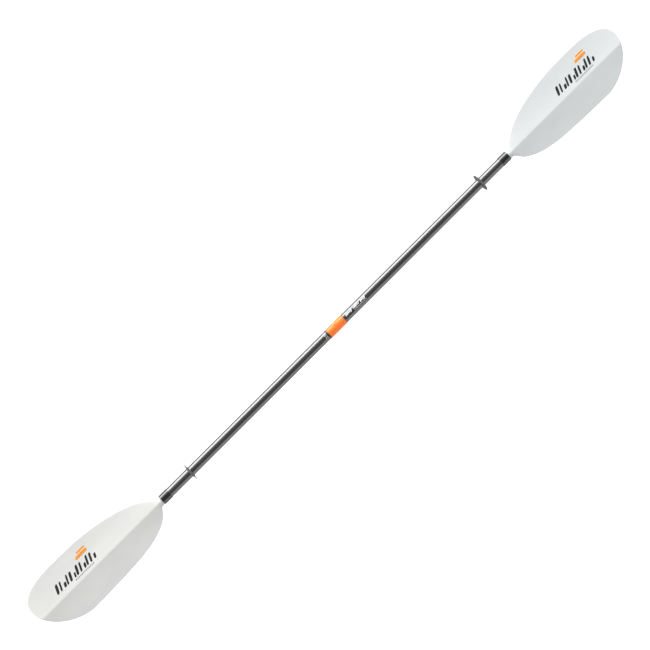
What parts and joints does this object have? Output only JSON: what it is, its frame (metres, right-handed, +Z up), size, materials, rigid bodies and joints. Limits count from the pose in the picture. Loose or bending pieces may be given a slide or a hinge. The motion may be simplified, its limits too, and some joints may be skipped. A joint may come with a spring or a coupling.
{
  "type": "kayak paddle",
  "caption": "Two-piece touring kayak paddle with asymmetric dihedral blades, a push-button feathering ferrule and sliding drip rings.",
  "frame": {"origin": "on the ground under the centre of the paddle's outline, at mid-length", "axes": "+X along the shaft to the right-hand blade, +Y across the blades to their long edges, +Z up out of the power faces"},
  "size_m": [2.299, 0.1704, 0.0554],
  "materials": {
    "carbon_shaft": "clear-coated black carbon fibre tube",
    "blade_nylon": "moulded white glass-filled nylon, satin",
    "sleeve": "glossy black heat-shrunk sleeve",
    "foam": "closed-cell foam plug",
    "rubber": "soft black rubber",
    "ferrule_plastic": "black glass-filled nylon",
    "spring_steel": "stainless spring steel",
    "orange_plastic": "smooth orange plastic, satin",
    "printed_film": "thin printed film with white marks"
  },
  "bodies": {
    "left_half": {"left_shaft": "carbon_shaft", "left_blade": "blade_nylon", "left_end_sleeve": "sleeve", "left_foam_plug": "foam", "left_water_plug": "foam", "ferrule_bush": "ferrule_plastic", "feather_scale": "printed_film"},
    "ferrule_insert": {"ferrule_insert": "ferrule_plastic", "insert_end_cap": "ferrule_plastic", "retaining_ring": "spring_steel", "spring_washer": "spring_steel", "lock_spring": "spring_steel", "seal_ring_1": "rubber", "seal_ring_2": "rubber"},
    "right_half": {"right_shaft": "carbon_shaft", "right_blade": "blade_nylon", "right_end_sleeve": "sleeve", "right_foam_plug": "foam", "ferrule_collar": "orange_plastic", "socket_liner": "ferrule_plastic", "socket_plug": "ferrule_plastic", "collar_end_ring": "rubber", "shaft_label": "printed_film"},
    "release_button": {"release_button": "orange_plastic"},
    "left_drip_ring": {"left_drip_ring": "rubber"},
    "right_drip_ring": {"right_drip_ring": "rubber"}
  },
  "joints": [
    {"name": "feather_turn", "type": "hinge", "parent": "left_half", "child": "ferrule_insert", "pos_m": [-0.0353, -0.00575, 0.02737], "axis": [1, 0, 0], "range_deg": [-60, 60]},
    {"name": "ferrule_pull", "type": "slide", "parent": "ferrule_insert", "child": "right_half", "axis": [1, 0, 0], "range_m": [0, 0.12]},
    {"name": "button_press", "type": "slide", "parent": "right_half", "child": "release_button", "axis": [0, -0.7071, -0.7071], "range_m": [0, 0.0016], "stiffness_N_per_m": 1500, "springref_m": -0.001, "deforming": ["lock_spring"]},
    {"name": "left_drip_slide", "type": "slide", "parent": "left_half", "child": "left_drip_ring", "axis": [1, 0, 0], "range_m": [-0.075, 0.15]},
    {"name": "right_drip_slide", "type": "slide", "parent": "right_half", "child": "right_drip_ring", "axis": [1, 0, 0], "range_m": [-0.15, 0.075]}
  ]
}
